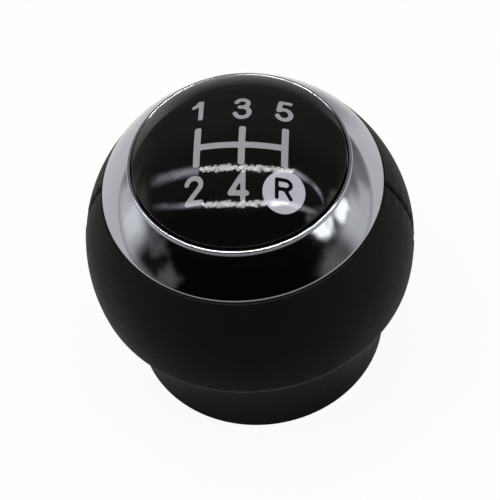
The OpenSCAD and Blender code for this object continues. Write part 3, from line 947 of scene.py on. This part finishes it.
# Two strips of small ring lamps overhead. Each row across a frosted end is: place, width and level.
lamps = {"height": 400, "radius": 6.8, "wireR": 1.5, "gap": 8.4, "swing": 9, "waveStep": 2.3, "jitter": 4,
         "seed": 4, "power": 56, "frostPower": 16, "columns": 9}
strips = {"farStrip": [(-194, 67), (-100, 52), (10, 46), (120, 54), (251, 77)],
          "nearStrip": [(-194, -120), (0, -128), (242, -107)]}
frosted = {"farLeft": [(-900, 236, 200, 0), (-640, 168, 150, 0.2), (-480, 124, 110, 0.45),
                       (-340, 91, 90, 0.7), (-205, 65, 70, 1)],
           "nearLeft": [(-900, -20, 110, 0), (-640, -60, 90, 0.15), (-490, -84, 70, 0.35),
                        (-340, -104, 56, 0.7), (-205, -114, 50, 1)],
           "farRight": [(255, 78, 60, 1), (330, 66, 60, 0.8), (400, 60, 56, 0.5), (480, 36, 60, 0.7),
                        (550, 8, 70, 0.45), (640, -50, 70, 0)],
           "nearRight": [(250, -110, 50, 1), (366, -121, 56, 0.7), (450, -128, 60, 0.45),
                         (560, -130, 70, 0)]}


def pointsTree():
    # ring lamps at equal gaps along a strip that waves from side to side
    tree, given = newTree("lampStrip", {"Material": "Material", "Gap": "Float", "Lamp Radius": "Float",
                                        "Lamp Width": "Float", "Swing": "Float", "Jitter": "Float"})
    line = addNode(tree, "GeometryNodeMeshToCurve", {"Mesh": given["Geometry"]})
    dots = addNode(tree, "GeometryNodeCurveToPoints", {"Curve": line.outputs[0], "Length": given["Gap"]},
                   mode="LENGTH")
    number = addNode(tree, "GeometryNodeInputIndex").outputs[0]
    wave = calc(tree, "SINE", calc(tree, "MULTIPLY", number, lamps["waveStep"]))
    side = addNode(tree, "ShaderNodeCombineXYZ", {"Y": calc(tree, "MULTIPLY", wave, given["Swing"])})
    random = addNode(tree, "FunctionNodeRandomValue", {0: (-1, -1, 0), 1: (1, 1, 0), "Seed": lamps["seed"]},
                     data_type="FLOAT_VECTOR")
    shake = addNode(tree, "ShaderNodeVectorMath", {0: random.outputs[0], "Scale": given["Jitter"]},
                    operation="SCALE")
    shift = addNode(tree, "ShaderNodeVectorMath", {0: side.outputs[0], 1: shake.outputs[0]}, operation="ADD")
    moved = addNode(tree, "GeometryNodeSetPosition",
                    {"Geometry": dots.outputs["Points"], "Offset": shift.outputs[0]})
    circle = addNode(tree, "GeometryNodeCurvePrimitiveCircle",
                     {"Resolution": 12, "Radius": given["Lamp Radius"]})
    wire = addNode(tree, "GeometryNodeCurvePrimitiveCircle",
                   {"Resolution": 6, "Radius": given["Lamp Width"]})
    lamp = addNode(tree, "GeometryNodeCurveToMesh",
                   {"Curve": circle.outputs[0], "Profile Curve": wire.outputs[0]})
    placed = addNode(tree, "GeometryNodeInstanceOnPoints",
                     {"Points": moved.outputs[0], "Instance": lamp.outputs[0]})
    endTree(tree, placed.outputs[0], given["Material"])
    return tree


def frostedMaterial():
    # a veil that glows with wisps, as strongly at each spot as its mesh says
    material, tree, light = glow("frosted", (0.86, 0.86, 1, 1), 1.0)
    soft = addNode(tree, "ShaderNodeAttribute", attribute_name="soft")
    place = addNode(tree, "ShaderNodeTexCoord").outputs["Object"]
    drawn = addNode(tree, "ShaderNodeMapping", {"Vector": place, "Scale": (7, 22, 1)}).outputs["Vector"]
    wisp = cloudy(tree, drawn, scale=1.0, detail=2.0, low=-0.1, high=1.9)
    power = calc(tree, "MULTIPLY", soft.outputs["Fac"], lamps["frostPower"])
    tree.links.new(calc(tree, "MULTIPLY", power, wisp), light.inputs["Strength"])
    clear = addNode(tree, "ShaderNodeBsdfTransparent")
    veil = addNode(tree, "ShaderNodeAddShader", {0: light.outputs[0], 1: clear.outputs[0]})
    tree.links.new(veil.outputs[0], tree.nodes["Material Output"].inputs["Surface"])
    return material


def addStrips():
    tree = pointsTree()
    sizes = {"Material": glow("lamps", (1, 1, 1, 1), lamps["power"])[0], "Gap": lamps["gap"] * mm,
             "Lamp Radius": lamps["radius"] * mm, "Lamp Width": lamps["wireR"] * mm,
             "Swing": lamps["swing"] * mm, "Jitter": lamps["jitter"] * mm}
    for name, line in strips.items():
        mesh = bpy.data.meshes.new(name)
        edges = [(i, i + 1) for i in range(len(line) - 1)]
        mesh.from_pydata([(x * mm, y * mm, lamps["height"] * mm) for x, y in line], edges, [])
        source = bpy.data.objects.new(name, mesh)
        scene.collection.objects.link(source)
        addStage(bpy.data.objects.new(name, evaluatedMesh(tree, source, sizes)))


def addFrosted():
    # a ribbon on from each end of a strip, brightest along its middle
    veilLook, columns = frostedMaterial(), lamps["columns"]
    for name, line in frosted.items():
        points, faces, levels = [], [], []
        for x, y, wide, level in line:
            for column in range(columns):
                off = column / (columns - 1) - 0.5
                points.append((x * mm, (y + off * wide) * mm, lamps["height"] * mm))
                levels.append(level * math.cos(math.pi * off) ** 2)
        for row in range(len(line) - 1):
            bridge(faces, (row + 1) * columns, row * columns, columns, closed=False)
        mesh = bpy.data.meshes.new(name)
        mesh.from_pydata(points, [], faces)
        mesh.attributes.new("soft", "FLOAT", "POINT").data.foreach_set("value", levels)
        mesh.materials.append(veilLook)
        addStage(bpy.data.objects.new(name, mesh))


def addLamp(name, place, size, power, aim=(0, 0, 25)):
    lamp = bpy.data.lights.new(name, "AREA")
    lamp.shape = "DISK"
    lamp.size = size * mm
    lamp.energy = power
    thing = bpy.data.objects.new(name, lamp)
    spot, target = Vector(place) * mm, Vector(aim) * mm
    turn = (spot - target).to_track_quat("Z", "Y").to_matrix().to_4x4()
    thing.matrix_world = Matrix.Translation(spot) @ turn
    thing.visible_glossy = False
    scene.collection.objects.link(thing)


addFloor()
addWorld()
addShell()
addStrips()
addFrosted()
addLamp("overhead", (-150, 150, 900), size=700, power=2.6)
addLamp("leftSoft", (-700, -150, 350), size=500, power=1.5)
addLamp("rightSoft", (700, -100, 350), size=500, power=1.5)
scene.view_settings.view_transform = "Standard"
print("studio made")
